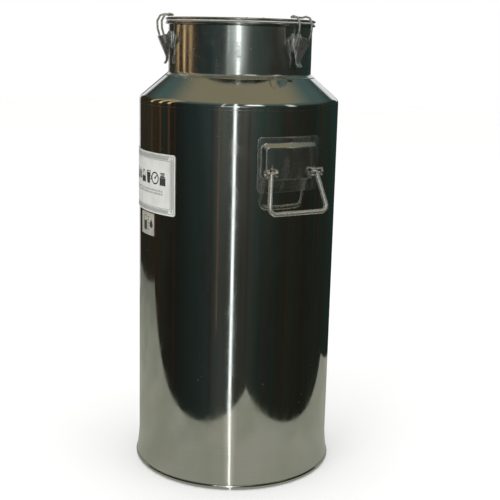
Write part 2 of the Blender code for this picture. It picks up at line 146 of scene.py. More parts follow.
class Nodes:
    """Short calls for building a shader's node tree."""

    def __init__(self, tree):
        self.tree = tree

    def add(self, kind, links=None, **settings):
        node = self.tree.nodes.new(kind)
        for key, value in settings.items():
            setattr(node, key, value)
        for key, value in (links or {}).items():
            socket = node.inputs[key]
            if isinstance(value, bpy.types.NodeSocket):
                self.tree.links.new(value, socket)
            else:
                socket.default_value = value
        return node

    def math(self, operation, a, b=0.0):
        return self.add("ShaderNodeMath", {0: a, 1: b}, operation=operation).outputs[0]

    def spread(self, value, low, high, to_low=0.0, to_high=1.0, smooth=True):
        """Maps low..high of a value to to_low..to_high."""
        node = self.add("ShaderNodeMapRange", {"Value": value, "From Min": low, "From Max": high,
                                               "To Min": to_low, "To Max": to_high},
                        interpolation_type='SMOOTHSTEP' if smooth else 'LINEAR')
        return node.outputs[0]

    def noise(self, vector, scale, detail=2.0, roughness=0.5, distortion=0.0):
        return self.add("ShaderNodeTexNoise", {"Vector": vector, "Scale": scale, "Detail": detail,
                                               "Roughness": roughness,
                                               "Distortion": distortion}).outputs[0]

    def stretch(self, vector, x, y, z):
        return self.add("ShaderNodeVectorMath", {0: vector, 1: (x, y, z)},
                        operation='MULTIPLY').outputs[0]

    def mix(self, factor, a, b):
        node = self.add("ShaderNodeMix", data_type='RGBA')
        for socket, value in ((node.inputs[0], factor), (node.inputs[6], a), (node.inputs[7], b)):
            if isinstance(value, bpy.types.NodeSocket):
                self.tree.links.new(value, socket)
            else:
                socket.default_value = value if isinstance(value, float) else (*value, 1)
        return node.outputs[2]

    def bump(self, height, distance, normal=None):
        node = self.add("ShaderNodeBump", {"Height": height, "Distance": distance, "Strength": 1.0})
        if normal:
            self.tree.links.new(normal, node.inputs["Normal"])
        return node.outputs[0]

    def turned(self, place):
        """X, Y and Z of a place, with the camera's side at -Y."""
        seen = self.add("ShaderNodeVectorRotate", {"Vector": place, "Angle": -CAMERA_TURN},
                        rotation_type='Z_AXIS').outputs[0]
        return self.add("ShaderNodeSeparateXYZ", {0: seen}).outputs


def empty_tree(owner):
    """The node helper of a material or world, with its nodes cleared."""
    owner.use_nodes = True
    owner.node_tree.nodes.clear()
    return Nodes(owner.node_tree)


def material(name, metallic, **constants):
    mat = bpy.data.materials.new(name)
    mat.use_nodes = True
    shader = mat.node_tree.nodes["Principled BSDF"]
    shader.inputs["Metallic"].default_value = metallic
    for key, value in constants.items():
        shader.inputs[key.replace("_", " ")].default_value = value
    nodes = Nodes(mat.node_tree)
    place = nodes.add("ShaderNodeTexCoord").outputs["Object"]

    def connect(**sockets):
        for key, value in sockets.items():
            mat.node_tree.links.new(value, shader.inputs[key.replace("_", " ")])
    return mat, nodes, place, connect


def steel(name, colour, rough, lines=(6, 6, 900), grain=0.6, wave=30.0, wave_scale=9.0, stain=0.05,
          metallic=1.0):
    """Polished sheet: fine grinding lines, slow waviness, faint wipe marks and specks of dust."""
    mat, n, place, connect = material(name, metallic)
    micron = 1e-6
    grind = n.noise(n.stretch(place, *lines), 1.0, 3.0, 0.6)
    cloud = n.noise(place, 14.0, 4.0, 0.6, 0.4)
    wipe = n.noise(n.stretch(place, 1.0, 1.0, 0.35), 42.0, 5.0, 0.65, 1.2)
    speck = n.add("ShaderNodeTexVoronoi", {"Vector": place, "Scale": 120.0}).outputs["Distance"]
    few = n.spread(n.noise(place, 23.0, 1.0), 0.62, 0.66)
    dust = n.math('MULTIPLY', n.spread(speck, 0.10, 0.05), few)
    dark = tuple(c * (1 - stain * 1.6) for c in colour)
    warm = (colour[0], colour[1] * (1 - stain * 0.4), colour[2] * (1 - stain))
    base = n.mix(n.spread(cloud, 0.35, 0.68), colour, warm)
    base = n.mix(n.math('MULTIPLY', n.spread(grind, 0.30, 0.75), 0.5), base, dark)
    base = n.mix(n.math('MULTIPLY', dust, 0.6), base, (0.72, 0.70, 0.66))
    gloss = n.spread(wipe, 0.38, 0.72, rough * 0.75, rough * 1.55)
    gloss = n.math('ADD', gloss, n.spread(grind, 0.3, 0.7, 0.0, rough * 0.3))
    gloss = n.math('ADD', gloss, n.math('MULTIPLY', dust, 0.3))
    slow = n.noise(n.stretch(place, 1.0, 1.0, 0.7), wave_scale, 1.5, 0.4)
    normal = n.bump(slow, wave * 10 * micron)
    normal = n.bump(grind, grain * micron, normal)
    connect(Base_Color=base, Roughness=gloss, Normal=normal)
    return mat


POLISHED = steel("polished_steel", (0.64, 0.64, 0.615), 0.075)
SPUN = steel("spun_steel", (0.64, 0.635, 0.61), 0.125, grain=1.2, wave=26.0, wave_scale=16.0)
NECK = steel("neck_steel", (0.65, 0.65, 0.625), 0.155, grain=1.2, wave=20.0, wave_scale=16.0)
LID = steel("lid_steel", (0.62, 0.61, 0.585), 0.22, grain=0.8, wave=8.0, wave_scale=12.0, stain=0.02)
PRESSED = steel("pressed_steel", (0.70, 0.69, 0.66), 0.20, lines=(260, 260, 30), grain=0.7, wave=12.0,
                wave_scale=30.0, stain=0.06)
WIRE = steel("steel_wire", (0.74, 0.71, 0.65), 0.22, lines=(300, 300, 300), grain=0.12, wave=6.0,
             wave_scale=60.0, stain=0.06, metallic=0.90)
LATCH = steel("latch_steel", (0.78, 0.77, 0.74), 0.18, lines=(260, 260, 30), grain=0.6, wave=16.0,
              wave_scale=40.0, stain=0.08, metallic=0.96)


def welded():
    """Weld metal left a little rough: ripples and straw to blue heat tint."""
    mat, n, place, connect = material("weld_steel", 1.0)
    ripple = n.noise(place, 420.0, 3.0, 0.6)
    tint = n.noise(place, 60.0, 2.0)
    base = n.mix(n.spread(tint, 0.35, 0.65), (0.56, 0.52, 0.44), (0.42, 0.44, 0.47))
    connect(Base_Color=base, Roughness=n.spread(ripple, 0.3, 0.7, 0.22, 0.42),
            Normal=n.bump(ripple, 40e-6))
    return mat


def silicone():
    mat, n, place, connect = material("silicone", 0.0, IOR=1.42)
    cloud = n.noise(place, 70.0, 4.0, 0.6)
    fine = n.noise(place, 900.0, 2.0)
    base = n.mix(n.spread(cloud, 0.3, 0.7), (0.74, 0.73, 0.69), (0.60, 0.58, 0.52))
    connect(Base_Color=base, Roughness=n.spread(fine, 0.3, 0.7, 0.42, 0.6), Normal=n.bump(fine, 20e-6))
    return mat


def sticker(name, colour, shade, gloss=(0.30, 0.46)):
    """Printed label paper under a thin film: fibres, faint soiling and slight creases."""
    mat, n, place, connect = material(name, 0.0, IOR=1.46)
    fibre = n.noise(n.stretch(place, 1.0, 1.0, 0.4), 700.0, 3.0, 0.6)
    soil = n.noise(place, 30.0, 5.0, 0.62, 0.5)
    crease = n.noise(n.stretch(place, 1.0, 1.0, 0.25), 60.0, 2.0)
    base = n.mix(n.spread(soil, 0.38, 0.75), colour, shade)
    base = n.mix(n.math('MULTIPLY', n.spread(fibre, 0.35, 0.7), 0.35), base, shade)
    normal = n.bump(fibre, 5e-6, n.bump(crease, 90e-6))
    connect(Base_Color=base, Roughness=n.spread(soil, 0.3, 0.7, *gloss), Normal=normal)
    return mat


WELD = welded()
SILICONE = silicone()
PAPER = sticker("label_paper", (0.63, 0.635, 0.60), (0.52, 0.52, 0.48))
SMALL_PAPER = sticker("small_label_paper", (0.40, 0.39, 0.33), (0.31, 0.30, 0.25))
INK = sticker("label_ink", (0.028, 0.030, 0.032), (0.055, 0.055, 0.055), (0.35, 0.5))
GREY_INK = sticker("label_grey_ink", (0.30, 0.31, 0.30), (0.36, 0.37, 0.36))


# ---------------------------------------------------------------- shape helpers

def add_piece(name, mesh, body, mat, nodes=(), sharp=32):
    obj = placed(name, mesh)
    mesh.materials.clear()
    mesh.materials.append(mat)
    if sharp:
        mesh.shade_smooth()
        mesh.set_sharp_from_angle(angle=math.radians(sharp))
    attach(obj, body)
    if nodes:
        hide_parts(*nodes)
    return obj


def arc(centre, radius, start, end, steps):
    turn = [math.radians(start + (end - start) * i / steps) for i in range(steps + 1)]
    return [(centre[0] + radius * math.cos(a), centre[1] + radius * math.sin(a)) for a in turn]


def supported(profile, closed=True, near=0.5 * MM, long=1.6 * MM):
    """Adds a point close to each end of a long straight run, which keeps its shading flat."""
    made = []
    count = len(profile)
    for i in range(count if closed else count - 1):
        a, b = Vector(profile[i]), Vector(profile[(i + 1) % count])
        made.append(a)
        length = (b - a).length
        if length > long:
            made += [a.lerp(b, near / length), a.lerp(b, 1 - near / length)]
    if not closed:
        made.append(Vector(profile[-1]))
    return made


def on_circle(radius, angle, height):
    return radius * math.cos(angle), radius * math.sin(angle), height


def full_turn(sides):
    return [2 * math.pi * i / sides for i in range(sides)]


def bridged(shape, rings):
    """Faces between each ring of vertices and the next. A ring may be a single vertex."""
    for low, high in zip(rings, rings[1:]):
        count = max(len(low), len(high))
        for i in range(count):
            j = (i + 1) % count
            corners = list(dict.fromkeys((low[i % len(low)], low[j % len(low)],
                                          high[j % len(high)], high[i % len(high)])))
            if len(corners) > 2:
                shape.faces.new(corners)


def finished(name, shape, outwards=True):
    """The mesh of a bmesh, with its faces turned outwards unless they already are."""
    if outwards:
        bmesh.ops.recalc_face_normals(shape, faces=shape.faces)
    mesh = bpy.data.meshes.new(name)
    shape.to_mesh(mesh)
    shape.free()
    return mesh


def thickened(obj, thickness):
    """Gives a one-sided skin its thickness, inwards."""
    solid = obj.modifiers.new("thickness", 'SOLIDIFY')
    solid.thickness = thickness
    solid.offset = -1


def turned_mesh(name, profile, sides=288, closed=True):
    """Turns a profile of (radius, height) points round Z. A point on the axis becomes one vertex."""
    shape = bmesh.new()
    rings = []
    for r, z in supported(profile, closed):
        if r < ON_AXIS:
            rings.append([shape.verts.new((0, 0, z))])
        else:
            rings.append([shape.verts.new(on_circle(r, a, z)) for a in full_turn(sides)])
    bridged(shape, rings + (rings[:1] if closed else []))
    return finished(name, shape)


def filleted(path, radius, steps=8):
    """Rounds the inner corners of an open path with arcs of one radius."""
    made = [Vector(path[0])]
    for before, corner, after in zip(path, path[1:], path[2:]):
        corner = Vector(corner)
        back, ahead = (Vector(before) - corner).normalized(), (Vector(after) - corner).normalized()
        half = back.angle(ahead) / 2
        reach = radius / math.tan(half)
        centre = corner + (back + ahead).normalized() * (radius / math.sin(half))
        first = (corner + back * reach - centre).normalized()
        last = (corner + ahead * reach - centre).normalized()
        made += [centre + first.slerp(last, i / steps) * radius for i in range(steps + 1)]
    made.append(Vector(path[-1]))
    return made


def tube_mesh(name, path, radius, sides=24, cap_steps=4):
    """A round rod along a path, with ends rounded over a short length."""
    path = [Vector(p) for p in path]
    shape = bmesh.new()
    side = None
    frames = []
    for i, p in enumerate(path):
        ahead = (path[min(i + 1, len(path) - 1)] - path[max(i - 1, 0)]).normalized()
        if side is None:
            side = ahead.orthogonal().normalized()
        side = (side - ahead * side.dot(ahead)).normalized()
        frames.append((p, ahead, side.copy(), ahead.cross(side)))
    edge = radius * 0.45
    stations = []
    for k in range(cap_steps, 0, -1):
        a = math.pi / 2 * k / cap_steps
        stations.append((*frames[0], edge * (1 - math.sin(a)), radius - edge + edge * math.cos(a)))
    stations += [(*f, 0.0, radius) for f in frames[1:-1]]
    for k in range(1, cap_steps + 1):
        a = math.pi / 2 * k / cap_steps
        stations.append((*frames[-1], edge * (math.sin(a) - 1), radius - edge + edge * math.cos(a)))
    rings = []
    for p, ahead, u, v, shift, r in stations:
        middle = p + ahead * shift
        rings.append([shape.verts.new(middle + u * (r * math.cos(a)) + v * (r * math.sin(a)))
                      for a in full_turn(sides)])
    bridged(shape, rings)
    shape.faces.new(list(reversed(rings[0])))
    shape.faces.new(rings[-1])
    return finished(name, shape)


def applied(name, obj):
    """The mesh of an object with its modifiers, after which the object is deleted."""
    graph = bpy.context.evaluated_depsgraph_get()
    mesh = bpy.data.meshes.new_from_object(obj.evaluated_get(graph))
    mesh.name = name
    bpy.data.objects.remove(obj, do_unlink=True)
    return mesh


def softened(name, source, width=0.25 * MM, steps=3):
    """A copy of a mesh with its sharp edges rounded."""
    obj = placed(name, source.copy())
    weld = obj.modifiers.new("weld", 'WELD')
    weld.merge_threshold = 0.01 * MM
    bevel = obj.modifiers.new("edges", 'BEVEL')
    bevel.width = width
    bevel.segments = steps
    bevel.limit_method = 'ANGLE'
    bevel.angle_limit = math.radians(34)
    bevel.miter_outer = 'MITER_ARC'
    bevel.harden_normals = False
    return applied(name, obj)


def spun(mesh, degrees):
    mesh.transform(Matrix.Rotation(math.radians(degrees), 4, 'Z'))
    return mesh


# ---------------------------------------------------------------- the vessel

def cone_point(radius, inward=0.0):
    height = NECK_Z - (radius - NECK_R) * math.tan(SLOPE)
    return radius - inward * math.sin(SLOPE), height - inward * math.cos(SLOPE)


def eased(points, rounds=3):
    """Cuts the corners of an open profile again and again, for a smooth flare."""
    for _ in range(rounds):
        fresh = [points[0]]
        for a, b in zip(points, points[1:]):
            a, b = Vector(a), Vector(b)
            fresh += [a.lerp(b, 0.25), a.lerp(b, 0.75)]
        fresh.append(points[-1])
        points = fresh
    return points


def vessel():
    flare = eased([(BODY_R, 60 * MM), (BODY_R, 44 * MM), (BODY_R + 0.7 * MM, 32 * MM),
                   (BODY_R + 1.9 * MM, 20 * MM), (BODY_R + 3.6 * MM, FOOT_H + GAP)])
    inner = [(r - SHEET, z) for r, z in reversed(flare)]
    body = [(BODY_R, SEAM_Z), (BODY_R, 400 * MM), (BODY_R, 200 * MM), *flare, *inner,
            (BODY_R - SHEET, SEAM_Z)]
    add_piece("body_wall", turned_mesh("body_wall", body), "root", POLISHED,
              ["body_shell"])

    tilt = math.degrees(SLOPE)
    reach = CREASE_BEND * math.tan((math.pi / 2 - SLOPE) / 2)
    centre = (BODY_R - CREASE_BEND, CREASE_Z - reach)
    bend = arc(centre, CREASE_BEND, 90 - tilt, 0, 14)
    inside = arc(centre, CREASE_BEND - SHEET, 0, 90 - tilt, 14)
    low = SEAM_Z + GAP
    cone = [cone_point(NECK_FOOT_R + GAP), *bend, (BODY_R, low), (BODY_R - SHEET, low), *inside,
            cone_point(NECK_FOOT_R + GAP, SHEET)]
    add_piece("shoulder", turned_mesh("shoulder", cone), "root", POLISHED,
              ["shoulder_cone"])

    turn = math.pi / 2 - SLOPE
    reach = NECK_FILLET * math.tan(turn / 2)
    centre = (NECK_R + NECK_FILLET, NECK_Z + reach)
    fillet = arc(centre, NECK_FILLET, 180, 270 - tilt, 8)
    back = arc(centre, NECK_FILLET + SHEET, 270 - tilt, 180, 8)
    bead = arc((BEAD_AT, BEAD_Z), BEAD_R, 120, -130, 24)
    wall = NECK_R - SHEET
    neck = [(wall, BEAD_Z), (wall + 0.3 * MM, BEAD_Z + 1.0 * MM), (wall + 0.8 * MM, BEAD_Z + 1.6 * MM), *bead,
            (NECK_R + 0.3 * MM, BEAD_Z - 2.4 * MM), (NECK_R, BEAD_Z - 3.2 * MM), *fillet,
            cone_point(NECK_FOOT_R), cone_point(NECK_FOOT_R, SHEET), *back]
    add_piece("neck", turned_mesh("neck", neck), "root", NECK, ["neck_collar"])

    edge = FOOT_R - 4 * MM
    ring = [(FOOT_R - 1.6 * MM, FOOT_H), *arc((FOOT_R - 1.6 * MM, FOOT_H - 0.8 * MM), 0.8 * MM, 80, 20, 4),
            *arc((edge, 4.6 * MM), 4 * MM, 30, -75, 14), (FOOT_R - 4.5 * MM, 0),
            (FOOT_R - 9 * MM, 0), *arc((FOOT_R - 8.5 * MM, 0.5 * MM), 0.5 * MM, 250, 180, 3),
            (FOOT_R - 9 * MM, FOOT_H)]
    add_piece("foot_ring", turned_mesh("foot_ring", ring), "root", POLISHED,
              ["base_ring"])

    rim, width, tallest = BODY_R - SHEET - GAP, 8 * MM, 1.0 * MM   # two raised rings, flat on top
    raised = arc((33.5 * MM, PAN_Z), 3.5 * MM, 180, 0, 10)[1:-1]
    outer = [(110 * MM + width * t / 8, PAN_Z + 1.6 * MM * math.sin(math.pi * t / 8))
             for t in range(1, 8)]
    face = [(0, PAN_Z), (30 * MM, PAN_Z), *raised, (37 * MM, PAN_Z), (110 * MM, PAN_Z), *outer,
            (118 * MM, PAN_Z), (rim, PAN_Z)]
    face = [(r, PAN_Z + min(z - PAN_Z, tallest)) for r, z in face]
    top = [(r, z + SHEET) for r, z in reversed(face)]
    add_piece("bottom_plate", turned_mesh("bottom_plate", face + top, 192), "root", SPUN,
              ["bottom_pan"])


def weld_bead(name, radius, height, half, proud, outward, sides=720):
    """A fine rippled weld round the can, seen at a given outward direction (radius, height)."""
    shape = bmesh.new()
    start, out = Vector((radius, height)), Vector(outward)
    along = Vector((-outward[1], outward[0]))
    sunk, depth = 0.06 * MM, 0.5 * MM
    rings = []
    for i, turn in enumerate(full_turn(sides)):
        swell = 1 + 0.10 * math.sin(i * 1.9) + 0.06 * math.sin(i * 0.37 + 1)
        section = []
        for t in (-1 + k / 3 for k in range(7)):
            section.append(start + along * (t * half) + out * (proud * swell * (1 - t * t) - sunk))
        section.append(start - out * depth)
        rings.append([shape.verts.new(on_circle(p.x, turn, p.y)) for p in section])
    bridged(shape, rings + rings[:1])
    add_piece(name, finished(name, shape), "root", WELD, sharp=60)


def long_seam():
    """The body's upright weld, ground almost flush, on the side away from the labels."""
    shape = bmesh.new()
    low, high, count = 12 * MM, SEAM_Z - 1 * MM, 260
    proud, half, sunk = 0.07 * MM, 0.8 * MM, 0.01 * MM
    rows = []
    for i in range(count + 1):
        z = low + (high - low) * i / count
        flare = 0.0
        for (z0, r0), (z1, r1) in zip(SEAM_FLARE, SEAM_FLARE[1:]):
            if z0 <= z < z1:
                flare = r0 + (r1 - r0) * (z - z0) / (z1 - z0)
        ripple = 1 + 0.2 * math.sin(i * 2.1)
        rows.append([shape.verts.new(on_circle(BODY_R + flare + proud * (1 - t * t) * ripple - sunk,
                                               math.pi / 2 + t * half / BODY_R, z))
                     for t in (-1, -0.5, 0, 0.5, 1)])
    for a, b in zip(rows, rows[1:]):
        for k in range(4):
            shape.faces.new((a[k], b[k], b[k + 1], a[k + 1]))
    mesh = finished("long_seam", shape)
    thickened(add_piece("long_seam", mesh, "root", WELD, sharp=60), 0.3 * MM)


def lid():
    inner, top = PLUG_R - SHEET, LID_FLOOR
    under = LID_BEAD_Z - 1.2 * MM
    bead = arc((LID_BEAD_AT, LID_BEAD_Z), LID_BEAD_R, 165, -150, 24)
    ridges = []
    for radius in (24 * MM, 62 * MM, 84 * MM):
        ridges += [(radius + 3 * MM * t / 8, top + 0.35 * MM * math.sin(math.pi * t / 8)) for t in range(9)]
    corner = arc((inner - 4 * MM, top + 4 * MM), 4 * MM, 270, 360, 10)
    lip = arc((inner + 1.6 * MM, under - 0.9 * MM), 1.6 * MM, 180, 110, 6)
    outside = arc((PLUG_R - 5.2 * MM, top + 4 * MM), 5.2 * MM, 0, -90, 10)
    profile = [(0, top), *ridges, *corner, *lip, *bead, (PLUG_R + 1.2 * MM, under),
               (PLUG_R + 0.3 * MM, under - 0.4 * MM), (PLUG_R, under - 1.2 * MM), *outside,
               (0, top - SHEET)]
    add_piece("lid_pressing", turned_mesh("lid_pressing", profile), "lid", LID,
              ["lid"])

    low, high = BEAD_Z + BEAD_R + GAP, LID_BEAD_Z - LID_BEAD_R - GAP
    seal = [(PLUG_R + 1.4 * MM, under - GAP), (PLUG_R + 2.4 * MM, under - GAP),
            (PLUG_R + 3.4 * MM, high), (LID_BEAD_AT, high), (LID_BEAD_AT + 0.4 * MM, low),
            (PLUG_R + 0.4 * MM, low), (PLUG_R + 0.4 * MM, low + 0.5 * MM)]
    add_piece("lid_seal", turned_mesh("lid_seal", seal), "lid", SILICONE, ["lid_gasket"])


def lid_handle():
    ends, reach, side = LUG_AT - 4.5 * MM, 42 * MM, LUG_AT + 6 * MM
    z = LID_PIVOT_Z
    path = [(-ends, 0, z), (-side, 0, z), (-side, reach, z), (side, reach, z), (side, 0, z), (ends, 0, z)]
    mesh = tube_mesh("lid_grip", filleted(path, 4.5 * MM, 10), LID_GRIP_R)
    add_piece("lid_grip", mesh, "lid_handle", WIRE, ["lid_handle"])
    for tag in ("left", "right"):
        node = f"lid_lug_{tag}"
        mesh = softened(f"lug_{tag}", frame["nodes"][node].data, 0.4 * MM)
        add_piece(f"lug_{tag}", mesh, "lid", PRESSED, [node])


# ---------------------------------------------------------------- toggle latches

def latch(tag, degrees):
    lever, bail = f"latch_{tag}_lever", f"latch_{tag}_bail"
    for part, body, edge, mat, slot in (("bracket", "root", 0.3, LATCH, "pressed_steel"),
                                        ("lever", lever, 0.35, LATCH, "pressed_steel"),
                                        ("pin", lever, 0.3, WIRE, "steel_wire")):
        node = f"latch_{part}_{tag}"
        mesh = softened(f"{part}_{tag}", frame["nodes"][node].data, edge * MM)
        add_piece(f"{part}_{tag}", mesh, body, mat, [node])
    leg = [Vector((x * MM, -LEG_HALF, y * MM)) for x, y in WIRE_LEG]
    path = [Vector((EYE[0], -LEVER_HALF + 1.9 * MM, EYE[1])), *leg]
    path += [Vector((p.x, -p.y, p.z)) for p in reversed(path)]
    mesh = spun(tube_mesh(f"wire_{tag}", filleted(path, 2.6 * MM, 8), WIRE_R, 20), degrees)
    add_piece(f"wire_{tag}", mesh, bail, WIRE, [f"latch_bail_{tag}"])


# ---------------------------------------------------------------- carrying handles

def rounded_loop(half, low, high, corner, steps=8, runs=24):
    """A rounded rectangle's outline with points spread along its sides as well."""
    inner, bottom, top = half - corner, low + corner, high - corner
    spots = [((inner, top), 0), ((-inner, top), 90), ((-inner, bottom), 180), ((inner, bottom), 270)]
    arcs = [arc(centre, corner, start, start + 90, steps) for centre, start in spots]
    loop = []
    for this, following in zip(arcs, arcs[1:] + arcs[:1]):
        loop += this
        a, b = Vector(this[-1]), Vector(following[0])
        loop += [tuple(a.lerp(b, k / runs)) for k in range(1, runs)]
    return loop


def on_can(y, z, radius):
    a = math.asin(y / BODY_R)
    return radius * math.cos(a), radius * math.sin(a), z


def pressed_plate(name):
    """The plate's outer skin from rounded outlines: a flange, a step up to the cover, its crown."""
    shape = bmesh.new()

    def ring(half, low, high, corner, height):
        return [shape.verts.new(on_can(y, z, PLATE_BACK + height))
                for y, z in rounded_loop(half, low, high, corner)]

    def flange(inset, height):
        return ring(PLATE_HALF - inset, PLATE_LOW + inset, PLATE_HIGH - inset, PLATE_CORNER - inset, height)

    loops = []
    for k in range(10):                                     # back face, from the middle outwards
        t = k / 9
        loops.append(ring(10 * MM + (PLATE_HALF - 10.3 * MM) * t, (484 - 36.7 * t) * MM,
                          (486 + 37.7 * t) * MM, (0.8 + 5.9 * t) * MM, 0.0))
    bend = 0.45 * MM
    quarter = [(math.sin(math.radians(a)), math.cos(math.radians(a))) for a in (0, 30, 60, 90)]
    for s, c in quarter:                                    # outer edge, with its two bends
        loops.append(flange(bend * (1 - s), bend * (1 - c) + (PLATE - 2 * bend) * (s > 0)))
    for s, c in quarter:
        loops.append(flange(bend * (1 - c), PLATE - bend * (1 - s)))
    step, rise = 6.5 * MM, COVER_PROUD - PLATE

    def cover(inset, height):
        return ring(COVER_HALF - inset, COVER_LOW + min(inset, 0.7 * MM), COVER_HIGH - inset,
                    max(8 * MM - inset * 0.55, 2.5 * MM), height)

    for k in range(-3, 0):
        t = -k / 4
        loops.append(ring(COVER_HALF + 4 * MM * t, COVER_LOW - 15 * MM * t, COVER_HIGH + 6 * MM * t,
                          (8 - 2 * t) * MM, PLATE))
    for k in range(13):
        t = k / 12
        loops.append(cover(step * t, PLATE + rise * (3 * t * t - 2 * t ** 3) ** 0.9))
    for k in range(1, 9):                                   # crown, closing on its middle line
        t = k / 8
        half = COVER_HALF - step
        low, high = COVER_LOW + 0.7 * MM, COVER_HIGH - step
        mid = (low + high) / 2
        loops.append(ring(half * (1 - 0.6 * t), low + (mid - 1 * MM - low) * t,
                          high - (high - mid - 1 * MM) * t, 4.4 * MM * (1 - t) + 0.8 * MM * t, COVER_PROUD))
    bridged(shape, loops)
    shape.faces.new(loops[0])
    shape.faces.new(loops[-1])
    return finished(name, shape)


def pocket_mesh(name):
    """The hollow under the cover, open at the bottom."""
    shape = bmesh.new()
    low, high = COVER_LOW - 2 * MM, COVER_HIGH - 5.0 * MM
    centre = (low + high) / 2
    loops = []
    for radius, shrink in ((PLATE_BACK + PLATE, 0.0), (PLATE_BACK + COVER_PROUD - PLATE, 2.5 * MM)):
        loops.append([shape.verts.new(on_can(y, z, radius)) for y, z in
                      rounded_loop(COVER_HALF - 4.5 * MM - shrink, low, high - shrink, 2 * MM)])
    bridged(shape, loops)
    for loop in loops:                                      # closes each end over its middle
        middle = []
        for v in loop:
            x, y, z = v.co
            r = math.hypot(x, y)
            middle.append(shape.verts.new((r * math.cos(math.asin(0.3 * y / r)), 0.3 * y,
                                           centre + 0.05 * (z - centre))))
        steps = [loop]
        for t in (0.25, 0.5, 0.75):
            steps.append([])
            for v, m in zip(loop, middle):
                y, z = v.co.y * (1 - t) + m.co.y * t, v.co.z * (1 - t) + m.co.z * t
                r = math.hypot(v.co.x, v.co.y)
                steps[-1].append(shape.verts.new((math.sqrt(r * r - y * y), y, z)))
        steps.append(middle)
        bridged(shape, steps)
        shape.faces.new(middle)
    return finished(name, shape)


def along_grip(name, side, profile, sides):
    """A profile turned round the grip's axis, at one of the ears."""
    mesh = turned_mesh(name, profile, sides, closed=False)
    mesh.transform(Matrix.Translation((GRIP_PIVOT[0], side * EAR_AT, GRIP_PIVOT[1]))
                   @ Matrix.Rotation(math.pi / 2, 4, 'X'))
    return mesh


def ear_mesh(name, side):
    """A rounded drum round the grip's axis. It is bored afterwards."""
    edge, half = 1.6 * MM, EAR_LENGTH / 2
    return along_grip(name, side, [(0, -half), *arc((EAR_R - edge, -half + edge), edge, -90, 0, 6),
                                   *arc((EAR_R - edge, half - edge), edge, 0, 90, 6), (0, half)], 48)


def bore_mesh(name, side):
    half = BORE_LENGTH / 2
    return along_grip(name, side, [(0, -half), (BORE_R, -half), (BORE_R, half), (0, half)], 40)


def slot_mesh(name, side):
    """The gap in an ear where the grip's leg swings."""
    middle = side * (EAR_AT + SLOT_OUT)
    shape = bmesh.new()
    bmesh.ops.create_cube(shape, size=1)
    low = Vector((GRIP_PIVOT[0] - 4.4 * MM, middle - EAR_SLOT / 2, PLATE_LOW - MM))
    high = Vector((GRIP_PIVOT[0] + 15 * MM, middle + EAR_SLOT / 2, SLOT_TOP))
    for v in shape.verts:
        v.co = Vector([(a + b) / 2 + c * (b - a) for a, b, c in zip(low, high, v.co)])
    return finished(name, shape, outwards=False)


def carved(name, mesh, cutters):
    """A mesh with others cut out of it. The helper objects are removed again."""
    obj = placed(name, mesh)
    helpers = [placed("helper", cutter) for cutter in cutters]
    for helper in helpers:
        cut = obj.modifiers.new("cut", 'BOOLEAN')
        cut.operation = 'DIFFERENCE'
        cut.object = helper
    mesh = applied(name, obj)
    for helper in helpers:
        bpy.data.objects.remove(helper, do_unlink=True)
    return mesh


def handle_plate(tag, degrees):
    name = f"plate_{tag}"
    cuts = [pocket_mesh("pocket"), *[bore_mesh("bore", s) for s in SIDES],
            *[slot_mesh("slot", s) for s in SIDES]]
    mesh = spun(carved(name, pressed_plate(name), cuts), degrees)
    add_piece(name, mesh, "root", PRESSED, [f"handle_plate_{tag}"])
    for number, side in enumerate(SIDES):
        name = f"ear_{tag}_{number}"
        cuts = [bore_mesh("bore", side), slot_mesh("slot", side)]
        mesh = spun(carved(name, ear_mesh(name, side), cuts), degrees)
        add_piece(name, mesh, "root", LATCH)
    reach, edge = EAR_AT - 6 * MM, 0.9 * MM                 # the rolled edge along the cover's foot
    path = [Vector(on_can(reach * (k / 12 - 1), COVER_LOW + edge, PLATE_BACK + COVER_PROUD - edge))
            for k in range(25)]
    mesh = spun(tube_mesh(f"lip_{tag}", path, edge, 16), degrees)
    add_piece(f"lip_{tag}", mesh, "root", LATCH)

    radius, height = GRIP_PIVOT
    pivot = Vector((radius, 0, height))
    flat = [(0, -EAR_AT + 8 * MM, 0), (0, -EAR_AT, 0), (0, -GRIP_LOW, -GRIP_DROP)]
    flat += [(0, -y, z) for _, y, z in reversed(flat)]
    lean = Matrix.Rotation(math.radians(-GRIP_REST), 4, 'Y')
    path = [pivot + lean @ Vector(p) for p in flat]
    elbow, foot = 4.5 * MM, 9 * MM
    bends = filleted(path[:3], elbow, 10)[:-1] + filleted(path[1:5], foot, 14)[1:-1]
    path = bends + filleted(path[3:], elbow, 10)[1:]
    mesh = spun(tube_mesh(f"grip_{tag}", path, GRIP_R, 28), degrees)
    add_piece(f"grip_{tag}", mesh, f"handle_{tag}", WIRE, [f"handle_bail_{tag}"])


# ---------------------------------------------------------------- labels

def wrapped(name, polygons, middle, radius, mat, thickness, nodes=()):
    """Flat polygons in (across, height) laid on the can round an upright middle line."""
    shape = bmesh.new()
    for polygon in polygons:
        shape.faces.new([shape.verts.new((x, 0, z)) for x, z in polygon])
    bmesh.ops.triangulate(shape, faces=[f for f in shape.faces if len(f.verts) > 4])
    reach = max(abs(v.co.x) for v in shape.verts)
    step = 2.5 * MM
    for k in range(-int(reach / step), int(reach / step) + 1):
        bmesh.ops.bisect_plane(shape, geom=shape.verts[:] + shape.edges[:] + shape.faces[:],
                               dist=1e-7, plane_co=(k * step, 0, 0), plane_no=(1, 0, 0))
    bmesh.ops.remove_doubles(shape, verts=shape.verts, dist=1e-6)
    for v in shape.verts:
        a = math.radians(middle) + v.co.x / BODY_R
        v.co = on_circle(radius, a, v.co.z)
    shape.normal_update()
    for f in shape.faces:
        out = f.calc_center_median()
        if f.normal.dot(Vector((out.x, out.y, 0))) < 0:
            f.normal_flip()
    mesh = finished(name, shape, outwards=False)
    thickened(add_piece(name, mesh, "root", mat, nodes, sharp=50), thickness)


